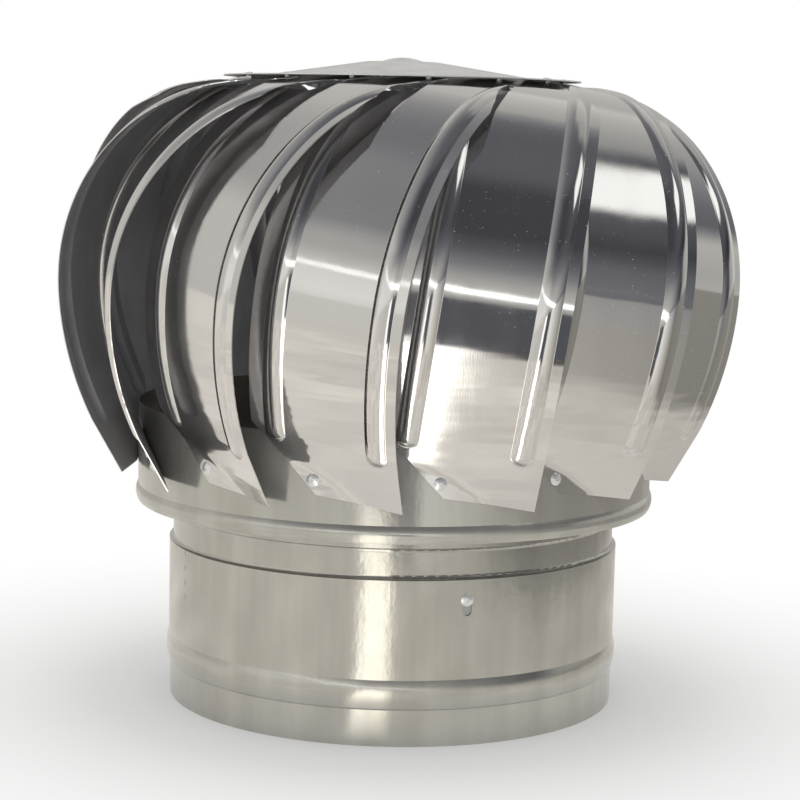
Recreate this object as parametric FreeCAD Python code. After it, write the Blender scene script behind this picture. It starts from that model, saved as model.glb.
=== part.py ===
import FreeCAD, Part
import math
import os

# Turbine roof vent. Millimetres, +Z up along the spindle, origin at the centre of the neck's lower rim.
# The neck, bracket and spindle stand still. The rotor of leaning vanes spins on two ball bearings.
# Azimuths are in degrees, counted from -Y towards +X.

V = FreeCAD.Vector
ORIGIN, X_DIR, Y_DIR, Z_DIR = V(0, 0, 0), V(1, 0, 0), V(0, 1, 0), V(0, 0, 1)

# Sheet thicknesses and gaps
NECK_SHEET = 0.8
SKIRT_SHEET = 0.8
VANE_SHEET = 0.6
CAP_SHEET = 0.8
SEAT_GAP = 0.15          # between two curved sheets that lie on each other
HOLE_GAP = 0.1           # around a rivet or a screw in its hole
FIT_GAP = 0.02           # around a race, a nut or a stem on its seat
EASE = 60.0              # spare length of a cutting tool
CUT_SPARE = 5.0          # how far a cut's outline runs past the strip

# Neck, a rolled collar that slips over the duct
NECK_RADIUS = 150.0
NECK_HEIGHT = 150.0
BAND_INSET = 0.8         # the crimped band at the foot is this much smaller
BAND_HEIGHT = 23.0
BEAD_BASE = 24.0
BEAD_HEIGHT = 18.0
BEAD_RISE = 1.4
GROOVE_BASE = 104.5
GROOVE_HEIGHT = 20.0
GROOVE_DEPTH = 2.6
GROOVE_BEND = 3.0
GROOVE_SHOULDER = 0.75   # share of the depth that is reached in the first quarter of the bend
HEM_RADIUS = 2.5

# Skirt, the lower ring of the rotor
SKIRT_GAP = 21.0         # from the neck's face to the skirt's
SKIRT_RADIUS = NECK_RADIUS + SKIRT_GAP
SKIRT_BASE = 131.0
SKIRT_HEIGHT = 65.0
SKIRT_BEAD_HEIGHT = 11.0
SKIRT_BEAD_RISE = 1.6
SKIRT_LIP = 7.0

# Vanes: each is a ribbed strip, rolled in tangent arcs and set leaning, face turned out of the round
VANE_COUNT = 14
VANE_BULGE = 26.4        # how far the strip's widest point stands out from the skirt
VANE_REACH = SKIRT_RADIUS + VANE_BULGE  # axis to the strip's outer face at the equator, square to the strip
EQUATOR = 280.9          # along the strip's own upright
LOWER_ARC = 203.0
UPPER_ARC = 136.0
CROWN_ARC = 116.0
UPPER_TURN = 55.0        # degrees of upper arc before the crown arc starts
CROWN_TURN = 28.0        # degrees of crown arc before the flat crown starts
CROWN_LENGTH = 50.0
LOWER_TURN = 24.5
FOOT_TURN = 28.7         # slope of the flat foot below the lower arc
VANE_FOOT = 162.3        # lower end, along the strip's own upright
STRIP_LEFT = -31.5
STRIP_RIGHT = 67.5
LEFT_MARGIN = 9.5
RIGHT_MARGIN = 6.5
RIB_WIDTH = 14.0
RIB_RISE = 2.2
RIB_OVERLAP = 0.15
FACE_TURN = 27.5         # degrees that the strip's face is turned from the right edge's azimuth
LEAN = 8.1               # degrees that the strip leans to its right
FOOT_CUT = (42.2, 37.7)  # lower left corner: across, along

# Cuts at the crown, as (in from the reach, across): the right corner, and what passes under the next vane
RIGHT_CUT = ((71.4, 67.5), (103.9, 56.2), (126.6, 51.3), (151.4, 43.8), (177.4, 36.0))
LEFT_CUT = ((67.4, -31.5), (73.4, 8.5), (86.4, 12.0), (111.8, 17.0), (177.4, 25.0))

# Rivets: blind, with a domed flange outside and a bulb inside
RIVET_RADIUS = 2.0
RIVET_FLANGE_RADIUS = 4.1
RIVET_FLANGE_RISE = 1.3
RIVET_DIMPLE_RADIUS = 1.1
RIVET_DIMPLE_DEPTH = 0.5
RIVET_BULB_RADIUS = 3.0
RIVET_BULB_LENGTH = 3.5
RIVET_SLACK = 0.05       # between the bulb and the sheet behind it
SKIRT_RIVET_Z = 168.0
SKIRT_RIVET_TURN = 11.1  # degrees from the strip's face to the rivet in its foot
CAP_RIVET_INSET = 12.0   # from the flange's edge
CAP_RIVET_AZIMUTH = 8.7
CAP_RIVET_GRIP = 2.3     # cap, vane and the wedge of air that the sloping crown leaves

# Cap: flat flange over the vanes' crowns, shallow cone, flat seat for the button
CAP_INSET = 80.4         # from the vanes' reach in to the flange's edge
CAP_Z = 408.4            # underside of the flange
CAP_FLANGE = 25.0
CONE_RISE = 10.4
CAP_SEAT_RADIUS = 24.0
CAP_TRIM = 1.5           # clear of the flange's edge, where the crown is trimmed to pass under it
BUTTON_RADIUS = 14.5
BUTTON_RISE = 2.9
BUTTON_STEM_RADIUS = 5.0
BUTTON_STEM_LENGTH = 5.0

# Ball bearings, both the same size
BORE_RADIUS = 6.0
BEARING_RADIUS = 16.0
BEARING_HEIGHT = 10.0
RACE_WALL = 3.2
BALL_RADIUS = 2.9
BALL_COUNT = 8
BALL_GAP = 0.08
CAGE_WALL = 1.2
CAGE_HEIGHT = 7.8

# Hub under the cap that holds the upper bearing
HUB_RADIUS = 21.0
HUB_HEIGHT = 16.0
HUB_RELIEF = 0.8         # recess that keeps the hub off the fixed inner race

# Cross bar and housing that hold the lower bearing in the skirt
BAR_WIDTH = 32.0
BAR_THICKNESS = 3.0
BAR_Z = 178.0            # top face
BAR_EAR_DROP = 20.0
BAR_BORE_RADIUS = 13.0
HOUSING_WALL = 3.0
HOUSING_RIM = 1.5        # wall above the bearing
HOUSING_FLANGE_RADIUS = 30.0
HOUSING_FLANGE = 3.0
SCREW_CIRCLE = 24.5
SCREW_SPREAD = 25.0      # degrees from the bar's middle line
SCREW_RADIUS = 2.5
SCREW_HEAD_RADIUS = 4.2
SCREW_HEAD_HEIGHT = 3.0
SCREW_NUT_FLATS = 8.0
SCREW_NUT_HEIGHT = 4.0
SCREW_TAIL = 1.5         # screw beyond its nut

# Bracket that holds the spindle in the neck
BRACKET_ARMS = 3
BRACKET_Z = 72.0         # top face
BRACKET_THICKNESS = 2.5
BRACKET_ARM_WIDTH = 26.0
BRACKET_HUB_RADIUS = 32.0
BRACKET_EAR_RISE = 28.0
BRACKET_AZIMUTH = 18.1
BRACKET_RIVET_Z = 92.0
SLOT_WIDTH = 6.0
SLOT_LENGTH = 13.0
SLOT_Z = 88.5            # middle of the slot

# Spindle and what clamps it
SPINDLE_RADIUS = 8.0
SPINDLE_FOOT_Z = 50.0
SPINDLE_TIP_GAP = 0.6    # below the upper bearing's top face
SPINDLE_CHAMFER = 1.0
NUT_FLATS = 19.0
NUT_HEIGHT = 10.0
WASHER_RADIUS = 14.0
WASHER_THICKNESS = 2.5
COLLAR_RADIUS = 10.0
COLLAR_HEIGHT = 10.0
SET_SCREW_RADIUS = 2.0
SET_SCREW_SOCKET = 0.9
SET_SCREW_INSET = 0.4    # outer end below the collar's face

# Levels and radii that follow from the sizes above
PITCH = 360.0 / VANE_COUNT
SKIRT_TOP = SKIRT_BASE + SKIRT_HEIGHT
VANE_SEAT = SKIRT_RADIUS + SEAT_GAP
SKIRT_RIVET_AZIMUTH = SKIRT_RIVET_TURN - FACE_TURN
CAP_RADIUS = VANE_REACH - CAP_INSET
CAP_RIVET_RADIUS = CAP_RADIUS - CAP_RIVET_INSET
CONE_RADIUS = CAP_RADIUS - CAP_FLANGE
HUB_TOP = CAP_Z + CONE_RISE
HUB_BASE = HUB_TOP - HUB_HEIGHT
UPPER_BEARING_Z = HUB_BASE
LOWER_BEARING_Z = BAR_Z + HOUSING_FLANGE
BALL_CIRCLE = (BORE_RADIUS + BEARING_RADIUS) / 2.0
BAR_REACH = SKIRT_RADIUS - SKIRT_SHEET - SEAT_GAP
EAR_REACH = NECK_RADIUS - NECK_SHEET - SEAT_GAP
COLLAR_Z = LOWER_BEARING_Z - COLLAR_HEIGHT


def save(shape, name):
    """Write one named sub-part."""
    solids = shape.Solids
    if not solids or not shape.isValid():
        raise ValueError(name + " is not a sound solid")
    body = solids[0] if len(solids) == 1 else Part.makeCompound(solids)
    body.exportStep("parts/" + name + ".step")
    print("%-28s %2d solid(s) %9.0f mm3" % (name, len(solids), sum(s.Volume for s in solids)))


def turn(shape, degrees):
    """A copy turned about the spindle's axis."""
    copy = shape.copy()
    copy.rotate(ORIGIN, Z_DIR, degrees)
    return copy


def place_at_azimuth(shape, azimuth):
    """A copy of something made pointing along +X, turned to an azimuth."""
    return turn(shape, azimuth - 90.0)


def disc(radius, base, height):
    """A plain cylinder about the axis."""
    return Part.makeCylinder(radius, height, V(0, 0, base))


def ring(inner, outer, base, height):
    """A plain tube about the axis."""
    return disc(outer, base, height).cut(disc(inner, base - 1.0, height + 2.0))


def profile(start, steps):
    """A line in the XZ plane of (radius, z) points; a step of two points is an arc through the first."""
    edges = []
    here = V(start[0], 0, start[1])
    for step in steps:
        points = [V(r, 0, z) for r, z in step]
        if len(points) == 1:
            edges.append(Part.LineSegment(here, points[0]).toShape())
        else:
            edges.append(Part.Arc(here, points[0], points[1]).toShape())
        here = points[-1]
    return Part.Wire(edges)


def spun_sheet(line, thickness):
    """A spun sheet: an outer line run with its outside on the right, thickened to its left."""
    return line.makeOffset2D(thickness, 2, True, True).revolve(ORIGIN, Z_DIR, 360.0)


def bead(radius, base, height, rise):
    """A rounded bead on an upright wall, as one arc step of a profile."""
    return [(radius + rise, base + height / 2.0), (radius, base + height)]


def hexagon(across_flats, bore, base, height):
    """A plain hexagon nut about the axis, its corners chamfered."""
    corner = across_flats / math.sqrt(3.0)
    corners = [V(corner, 0, base)]
    for k in range(1, 7):
        angle = math.radians(60.0 * k)
        corners.append(V(corner * math.cos(angle), corner * math.sin(angle), base))
    prism = Part.Face(Part.makePolygon(corners)).extrude(Z_DIR * height)
    chamfer = 0.5 * (corner - across_flats / 2.0)
    rounded = disc(corner, base, height)
    rounded = rounded.makeChamfer(chamfer, [rounded.Edges[0], rounded.Edges[2]])
    return prism.common(rounded).cut(disc(bore, base - 1.0, height + 2.0))


def rivet(grip):
    """A blind rivet along +X: its flange sits at x = 0 and the sheets reach in to x = -grip."""
    radius, rise = RIVET_FLANGE_RADIUS, RIVET_FLANGE_RISE
    lens_radius = (radius * radius + rise * rise) / (2.0 * rise)
    lens = Part.makeSphere(lens_radius, V(rise - lens_radius, 0, 0))
    flange = lens.common(Part.makeCylinder(radius, rise + 1.0, V(FIT_GAP, 0, 0), X_DIR))
    dimple = Part.makeCylinder(RIVET_DIMPLE_RADIUS, rise, V(rise - RIVET_DIMPLE_DEPTH, 0, 0), X_DIR)
    shank = Part.makeCylinder(RIVET_RADIUS, grip + 2.0 * RIVET_SLACK, V(-grip - RIVET_SLACK, 0, 0), X_DIR)
    bulb_end = V(-grip - RIVET_SLACK - RIVET_BULB_LENGTH, 0, 0)
    bulb = Part.makeCylinder(RIVET_BULB_RADIUS, RIVET_BULB_LENGTH, bulb_end, X_DIR)
    bulb = bulb.makeFillet(RIVET_BULB_RADIUS / 4.0, [bulb.Edges[0], bulb.Edges[2]])
    return flange.cut(dimple).fuse([shank, bulb]).removeSplitter()


def wall_rivet(azimuth, radius, z, grip):
    """A rivet through an upright wall whose outer face has this radius."""
    placed = rivet(grip)
    placed.translate(V(radius, 0, z))
    return place_at_azimuth(placed, azimuth)


def wall_rivet_hole(azimuth, radius, z):
    """The hole of a wall rivet in every sheet within reach."""
    reach = 2.0 * RIVET_BULB_LENGTH
    drill = Part.makeCylinder(RIVET_RADIUS + HOLE_GAP, 2.0 * reach, V(radius - reach, 0, z), X_DIR)
    return place_at_azimuth(drill, azimuth)


def cap_rivet_hole(azimuth):
    """The upright hole of a cap rivet in the flange and the vane."""
    drill = Part.makeCylinder(RIVET_RADIUS + HOLE_GAP, EASE, V(CAP_RIVET_RADIUS, 0, CAP_Z - EASE / 2.0))
    return place_at_azimuth(drill, azimuth)


def around(first, count):
    """Azimuths of a ring of like things."""
    return [first + 360.0 * k / count for k in range(count)]


# Neck and what it carries

def neck_collar():
    """The rolled collar: a smaller band at the foot, a bead, a groove and a hem curled out at the top."""
    bottom = GROOVE_BASE
    top = GROOVE_BASE + GROOVE_HEIGHT
    floor = NECK_RADIUS - GROOVE_DEPTH
    edge = NECK_RADIUS - GROOVE_SHOULDER * GROOVE_DEPTH
    bend = (1.0 - GROOVE_SHOULDER) * GROOVE_BEND
    curl = HEM_RADIUS - NECK_SHEET
    hem_x, hem_z = NECK_RADIUS + curl, NECK_HEIGHT - HEM_RADIUS
    diagonal = curl * math.sqrt(0.5)
    line = profile((NECK_RADIUS - BAND_INSET, 0.0), [
        [(NECK_RADIUS - BAND_INSET, BAND_HEIGHT)],
        [(NECK_RADIUS, BEAD_BASE)],
        bead(NECK_RADIUS, BEAD_BASE, BEAD_HEIGHT, BEAD_RISE),
        [(NECK_RADIUS, bottom)],
        [(edge, bottom + bend), (floor, bottom + GROOVE_BEND)],
        [(floor, top - GROOVE_BEND)],
        [(edge, top - bend), (NECK_RADIUS, top)],
        [(NECK_RADIUS, hem_z)],
        [(hem_x, hem_z + curl), (hem_x + curl, hem_z)],
        [(hem_x + diagonal, hem_z - diagonal), (hem_x, hem_z - curl)],
    ])
    body = spun_sheet(line, NECK_SHEET)
    for azimuth in around(BRACKET_AZIMUTH, BRACKET_ARMS):
        body = body.cut(place_at_azimuth(wall_slot(), azimuth))
    return body


def wall_slot():
    """The upright slot in the neck that lets the bracket's rivet be set for height."""
    half = SLOT_WIDTH / 2.0
    straight = SLOT_LENGTH - SLOT_WIDTH
    depth = SLOT_WIDTH + NECK_SHEET
    base = V(NECK_RADIUS - depth / 2.0, 0, SLOT_Z - straight / 2.0)
    slot = Part.makeBox(depth, SLOT_WIDTH, straight, base - V(0, half, 0))
    ends = [Part.makeCylinder(half, depth, base + V(0, 0, rise), X_DIR) for rise in (0.0, straight)]
    return slot.fuse(ends)


def bearing_bracket():
    """A three-armed plate across the neck, its ends turned up against the wall."""
    base = BRACKET_Z - BRACKET_THICKNESS
    body = disc(BRACKET_HUB_RADIUS, base, BRACKET_THICKNESS)
    inside = disc(EAR_REACH, base, BRACKET_EAR_RISE)
    shell = ring(EAR_REACH - BRACKET_THICKNESS, EAR_REACH, base, BRACKET_EAR_RISE)
    for azimuth in around(BRACKET_AZIMUTH, BRACKET_ARMS):
        corner = V(0, -BRACKET_ARM_WIDTH / 2.0, base)
        arm = Part.makeBox(NECK_RADIUS, BRACKET_ARM_WIDTH, BRACKET_THICKNESS, corner).common(inside)
        ear = Part.makeBox(NECK_RADIUS, BRACKET_ARM_WIDTH, BRACKET_EAR_RISE, corner).common(shell)
        body = body.fuse([place_at_azimuth(arm, azimuth), place_at_azimuth(ear, azimuth)])
    for azimuth in around(BRACKET_AZIMUTH, BRACKET_ARMS):
        body = body.cut(wall_rivet_hole(azimuth, NECK_RADIUS, BRACKET_RIVET_Z))
    return body.cut(disc(BORE_RADIUS + FIT_GAP, base - 1.0, EASE)).removeSplitter()


def bracket_rivets():
    grip = NECK_SHEET + SEAT_GAP + BRACKET_THICKNESS
    return Part.makeCompound([wall_rivet(azimuth, NECK_RADIUS, BRACKET_RIVET_Z, grip)
                              for azimuth in around(BRACKET_AZIMUTH, BRACKET_ARMS)])


def spindle():
    """The fixed shaft: thin ends in the bearings and the bracket, a thick middle between the bearings."""
    tip = UPPER_BEARING_Z + BEARING_HEIGHT - SPINDLE_TIP_GAP
    thin = disc(BORE_RADIUS, SPINDLE_FOOT_Z, tip - SPINDLE_FOOT_Z)
    thin = thin.makeChamfer(SPINDLE_CHAMFER, [thin.Edges[0], thin.Edges[2]])
    shoulder = LOWER_BEARING_Z + BEARING_HEIGHT
    return thin.fuse(disc(SPINDLE_RADIUS, shoulder, UPPER_BEARING_Z - shoulder)).removeSplitter()


def spindle_washers():
    below = BRACKET_Z - BRACKET_THICKNESS - WASHER_THICKNESS
    bore = BORE_RADIUS + FIT_GAP
    return Part.makeCompound([ring(bore, WASHER_RADIUS, z, WASHER_THICKNESS) for z in (below, BRACKET_Z)])


def spindle_nuts():
    below = BRACKET_Z - BRACKET_THICKNESS - WASHER_THICKNESS - NUT_HEIGHT
    above = BRACKET_Z + WASHER_THICKNESS
    bore = BORE_RADIUS + FIT_GAP
    return Part.makeCompound([hexagon(NUT_FLATS, bore, z, NUT_HEIGHT) for z in (below, above)])


def spindle_collar():
    """The ring that keeps the lower bearing up against the spindle's shoulder."""
    body = ring(BORE_RADIUS + FIT_GAP, COLLAR_RADIUS, COLLAR_Z, COLLAR_HEIGHT)
    hole = Part.makeCylinder(SET_SCREW_RADIUS + FIT_GAP, EASE, V(0, 0, COLLAR_Z + COLLAR_HEIGHT / 2.0), X_DIR)
    return body.cut(hole)


def collar_screw():
    start = BORE_RADIUS + FIT_GAP
    length = COLLAR_RADIUS - SET_SCREW_INSET - start
    z = COLLAR_Z + COLLAR_HEIGHT / 2.0
    screw = Part.makeCylinder(SET_SCREW_RADIUS, length, V(start, 0, z), X_DIR)
    return screw.cut(Part.makeCylinder(SET_SCREW_SOCKET, length, V(start + length / 2.0, 0, z), X_DIR))


# Bearings, each made standing on z = 0

def ball_track():
    """The round groove that the balls run in."""
    return Part.makeTorus(BALL_CIRCLE, BALL_RADIUS + BALL_GAP, V(0, 0, BEARING_HEIGHT / 2.0))


def inner_race():
    return ring(BORE_RADIUS + FIT_GAP, BORE_RADIUS + RACE_WALL, 0.0, BEARING_HEIGHT).cut(ball_track())


def outer_race():
    return ring(BEARING_RADIUS - RACE_WALL, BEARING_RADIUS, 0.0, BEARING_HEIGHT).cut(ball_track())


def balls():
    ball = Part.makeSphere(BALL_RADIUS, V(BALL_CIRCLE, 0, BEARING_HEIGHT / 2.0))
    return Part.makeCompound([place_at_azimuth(ball, azimuth) for azimuth in around(0.0, BALL_COUNT)])


def ball_cage():
    """The band between the races, with a round window for each ball."""
    base = (BEARING_HEIGHT - CAGE_HEIGHT) / 2.0
    band = ring(BALL_CIRCLE - CAGE_WALL / 2.0, BALL_CIRCLE + CAGE_WALL / 2.0, base, CAGE_HEIGHT)
    window = Part.makeCylinder(BALL_RADIUS + BALL_GAP, BEARING_RADIUS, V(0, 0, BEARING_HEIGHT / 2.0), X_DIR)
    return band.cut([place_at_azimuth(window, azimuth) for azimuth in around(0.0, BALL_COUNT)])


def raised(shape, z):
    """A copy lifted to a level."""
    copy = shape.copy()
    copy.translate(V(0, 0, z))
    return copy


# Rotor

def skirt_ring():
    """The rotor's lower ring: a lip turned in, a bead, and a plain wall that the vanes are riveted to."""
    line = profile((SKIRT_RADIUS - SKIRT_LIP, SKIRT_BASE), [
        [(SKIRT_RADIUS, SKIRT_BASE)],
        bead(SKIRT_RADIUS, SKIRT_BASE, SKIRT_BEAD_HEIGHT, SKIRT_BEAD_RISE),
        [(SKIRT_RADIUS, SKIRT_TOP)],
    ])
    body = spun_sheet(line, SKIRT_SHEET)
    return body.cut([wall_rivet_hole(azimuth, SKIRT_RADIUS, SKIRT_RIVET_Z)
                     for azimuth in around(SKIRT_RIVET_AZIMUTH, VANE_COUNT)])


def strip_section(ribbed):
    """The strip's section at the equator, in the strip's frame: x is reach, y runs across."""
    left_rib = STRIP_LEFT + LEFT_MARGIN
    right_rib = STRIP_RIGHT - RIGHT_MARGIN - RIB_WIDTH
    stops = [STRIP_LEFT, left_rib, left_rib + RIB_WIDTH, right_rib, right_rib + RIB_WIDTH, STRIP_RIGHT]
    edges = []
    for x in (VANE_REACH, VANE_REACH - VANE_SHEET):
        for i in range(5):
            start, end = V(x, stops[i], EQUATOR), V(x, stops[i + 1], EQUATOR)
            if ribbed and i in (1, 3):
                crest = V(x + RIB_RISE, (stops[i] + stops[i + 1]) / 2.0, EQUATOR)
                edges.append(Part.Arc(start, crest, end).toShape())
            else:
                edges.append(Part.LineSegment(start, end).toShape())
    for y in (STRIP_LEFT, STRIP_RIGHT):
        outer, inner = V(VANE_REACH, y, EQUATOR), V(VANE_REACH - VANE_SHEET, y, EQUATOR)
        edges.append(Part.LineSegment(outer, inner).toShape())
    return Part.Face(Part.Wire(Part.__sortEdges__(edges)))


def slope(degrees):
    """The direction up the strip where it has turned in by this much, negative below the equator."""
    angle = math.radians(degrees)
    return V(-math.sin(angle), 0, math.cos(angle))


def outward(degrees):
    """The direction out of the strip's face where it has turned in by this much."""
    angle = math.radians(degrees)
    return V(math.cos(angle), 0, math.sin(angle))


def rolled_strip():
    """One vane's strip in its own frame: x out of the face, y across to the right, z along the strip."""
    section = strip_section(True)
    lower_centre = V(VANE_REACH - LOWER_ARC, 0, EQUATOR)
    upper_centre = V(VANE_REACH - UPPER_ARC, 0, EQUATOR)
    crown_centre = upper_centre + outward(UPPER_TURN) * (UPPER_ARC - CROWN_ARC)
    lower = section.revolve(lower_centre, Y_DIR, LOWER_TURN)
    upper = section.revolve(upper_centre, Y_DIR, -UPPER_TURN)
    crown_section = section.copy()
    crown_section.rotate(upper_centre, Y_DIR, -UPPER_TURN)
    crown = crown_section.revolve(crown_centre, Y_DIR, -CROWN_TURN)
    flat_section = crown_section.copy()
    flat_section.rotate(crown_centre, Y_DIR, -CROWN_TURN)
    flat = flat_section.extrude(slope(UPPER_TURN + CROWN_TURN) * CROWN_LENGTH)

    kink = lower_centre + outward(-LOWER_TURN) * LOWER_ARC
    foot_length = (kink.z - VANE_FOOT) / math.cos(math.radians(FOOT_TURN))
    foot_section = strip_section(False)
    foot_section.rotate(lower_centre, Y_DIR, LOWER_TURN)
    foot = foot_section.extrude(slope(-FOOT_TURN) * -foot_length)
    out = outward(-FOOT_TURN)
    ends = []
    for rib_left in (STRIP_LEFT + LEFT_MARGIN, STRIP_RIGHT - RIGHT_MARGIN - RIB_WIDTH):
        centre = kink + V(0, rib_left + RIB_WIDTH / 2.0, 0)
        ends.append(rib_end(centre, out, slope(-FOOT_TURN) * -1.0))
        foot = foot.cut(Part.makeCylinder(rib_mouth(), 4.0 * RIB_RISE, centre - out * 2.0 * RIB_RISE, out))
    strip = upper.fuse([crown, flat, lower, foot] + ends)
    right_corner = crown_cut(RIGHT_CUT, 2.0 * STRIP_RIGHT)
    left_corner = crown_cut(LEFT_CUT, 2.0 * STRIP_LEFT)
    return strip.cut([foot_corner(), right_corner, left_corner])


def rib_mouth():
    """Radius of the opening under a rib's rounded end."""
    return RIB_WIDTH / 2.0 - 2.0 * VANE_SHEET


def rib_end(centre, out, down):
    """The rounded end of a rib: half of its section spun about its middle."""
    half = RIB_WIDTH / 2.0
    radius = (half * half + RIB_RISE * RIB_RISE) / (2.0 * RIB_RISE)
    outer_ball = Part.makeSphere(radius)
    outer_ball.rotate(ORIGIN, Y_DIR, 90.0)
    outer_ball.translate(V(0, 0, RIB_RISE - radius))
    inner_ball = outer_ball.copy()
    inner_ball.translate(V(0, 0, -VANE_SHEET))
    keep = Part.makeCylinder(half + VANE_SHEET, half, V(0, 0, -VANE_SHEET))
    collar = ring(rib_mouth(), half + VANE_SHEET, -VANE_SHEET, VANE_SHEET)
    dome = outer_ball.cut(inner_ball).common(keep).fuse(collar)
    dome = dome.common(Part.makeBox(RIB_WIDTH * 2.0, RIB_WIDTH, RIB_WIDTH, V(-RIB_WIDTH, -RIB_OVERLAP, -half)))
    dome.Placement = FreeCAD.Placement(centre, FreeCAD.Rotation(down.cross(out), down, out, "ZYX"))
    return dome


def foot_corner():
    """What the sloping cut takes off the strip's lower left corner."""
    across, along = FOOT_CUT
    left, x = STRIP_LEFT - CUT_SPARE, VANE_REACH / 2.0
    corners = [V(x, left, VANE_FOOT - CUT_SPARE),
               V(x, left, VANE_FOOT + along * (across + CUT_SPARE) / across),
               V(x, STRIP_LEFT + across * (along + CUT_SPARE) / along, VANE_FOOT - CUT_SPARE)]
    return Part.Face(Part.makePolygon(corners + corners[:1])).extrude(X_DIR * VANE_REACH)


def crown_cut(line, side):
    """What a cut along a line of (in from the reach, across) points takes off the crown, out to one side."""
    level = EQUATOR + UPPER_ARC / 2.0
    corners = [V(VANE_REACH - inset, y, level) for inset, y in line]
    corners = [V(corners[0].x, side, level)] + corners + [V(corners[-1].x, side, level)]
    return Part.Face(Part.makePolygon(corners + corners[:1])).extrude(Z_DIR * UPPER_ARC)


def foot_outline():
    """The strip's foot seen square to its face, as a block that the tab on the skirt keeps inside."""
    corner = V(VANE_REACH / 2.0, STRIP_LEFT, VANE_FOOT)
    block = Part.makeBox(VANE_REACH / 2.0, STRIP_RIGHT - STRIP_LEFT, SKIRT_TOP + EASE - VANE_FOOT, corner)
    return block.cut(foot_corner())


def behind_strip():
    """The space behind the strip's lower arc and foot."""
    centre = V(VANE_REACH - LOWER_ARC, STRIP_LEFT - CUT_SPARE, EQUATOR)
    kink, mid, high = [centre + outward(-a) * (LOWER_ARC - VANE_SHEET)
                       for a in (LOWER_TURN, LOWER_TURN * 0.7, LOWER_TURN * 0.4)]
    low = kink - slope(-FOOT_TURN) * EASE
    deep = VANE_REACH / 3.0
    path = [Part.Arc(kink, mid, high).toShape()]
    corners = [high, V(deep, high.y, high.z), V(deep, low.y, low.z), low, kink]
    path += [Part.LineSegment(a, b).toShape() for a, b in zip(corners, corners[1:])]
    return Part.Face(Part.Wire(path)).extrude(Y_DIR * (STRIP_RIGHT - STRIP_LEFT + 2.0 * CUT_SPARE))


def to_vent(shape):
    """From the strip's frame to the vent's: lean to the right, then turn the face."""
    placed = shape.copy()
    placed.rotate(ORIGIN, X_DIR, -LEAN)
    placed.rotate(ORIGIN, Z_DIR, -90.0 - FACE_TURN)
    return placed


def first_vane():
    """The vane at the front: its foot creased on to the skirt, its crown trimmed under the cap."""
    below_rim = SKIRT_HEIGHT + SEAT_GAP
    strip = to_vent(rolled_strip())
    strip = strip.cut(disc(VANE_SEAT, SKIRT_BASE, below_rim))
    tab = ring(VANE_SEAT, VANE_SEAT + VANE_SHEET, SKIRT_BASE, below_rim)
    tab = tab.common(to_vent(foot_outline())).cut(to_vent(behind_strip()))
    body = strip.fuse(tab)
    body = body.cut(disc(CAP_RADIUS + CAP_TRIM, CAP_Z - SEAT_GAP, EASE))
    body = body.cut([wall_rivet_hole(SKIRT_RIVET_AZIMUTH, SKIRT_RADIUS, SKIRT_RIVET_Z),
                     cap_rivet_hole(CAP_RIVET_AZIMUTH + PITCH)])
    return body


def bar_rivet(azimuth):
    """Whether the skirt rivet at this azimuth also holds an ear of the cross bar."""
    off_the_bar = SKIRT_RADIUS * abs(math.sin(math.radians(azimuth - SKIRT_RIVET_AZIMUTH)))
    return off_the_bar < BAR_WIDTH / 2.0


def skirt_rivets():
    made = []
    for azimuth in around(SKIRT_RIVET_AZIMUTH, VANE_COUNT):
        grip = VANE_SHEET + SEAT_GAP + SKIRT_SHEET
        if bar_rivet(azimuth):
            grip += SEAT_GAP + BAR_THICKNESS
        made.append(wall_rivet(azimuth, VANE_SEAT + VANE_SHEET, SKIRT_RIVET_Z, grip))
    return Part.makeCompound(made)


def rotor_cross_bar():
    """A flat bar across the skirt, its ends turned down behind the skirt's wall."""
    base = BAR_Z - BAR_THICKNESS
    length = 2.0 * SKIRT_RADIUS
    corner = V(-SKIRT_RADIUS, -BAR_WIDTH / 2.0, base)
    bar = Part.makeBox(length, BAR_WIDTH, BAR_THICKNESS, corner).common(disc(BAR_REACH, base, BAR_THICKNESS))
    ears = ring(BAR_REACH - BAR_THICKNESS, BAR_REACH, BAR_Z - BAR_EAR_DROP, BAR_EAR_DROP)
    corner = V(-SKIRT_RADIUS, -BAR_WIDTH / 2.0, BAR_Z - BAR_EAR_DROP)
    ears = ears.common(Part.makeBox(length, BAR_WIDTH, BAR_EAR_DROP, corner))
    body = bar.fuse(ears).cut(disc(BAR_BORE_RADIUS, base - 1.0, EASE)).cut(screw_holes(base))
    body = place_at_azimuth(body, SKIRT_RIVET_AZIMUTH)
    holes = [wall_rivet_hole(SKIRT_RIVET_AZIMUTH + side, SKIRT_RADIUS, SKIRT_RIVET_Z) for side in (0.0, 180.0)]
    return body.cut(holes).removeSplitter()


def screw_places():
    """Where the housing's screws stand, in the frame of a bar along X."""
    along = SCREW_CIRCLE * math.cos(math.radians(SCREW_SPREAD))
    across = SCREW_CIRCLE * math.sin(math.radians(SCREW_SPREAD))
    return [V(along, across, 0), V(-along, across, 0), V(-along, -across, 0), V(along, -across, 0)]


def screw_holes(base):
    drills = [Part.makeCylinder(SCREW_RADIUS + HOLE_GAP, EASE, place + V(0, 0, base - EASE / 2.0))
              for place in screw_places()]
    return drills[0].fuse(drills[1:])


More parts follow.
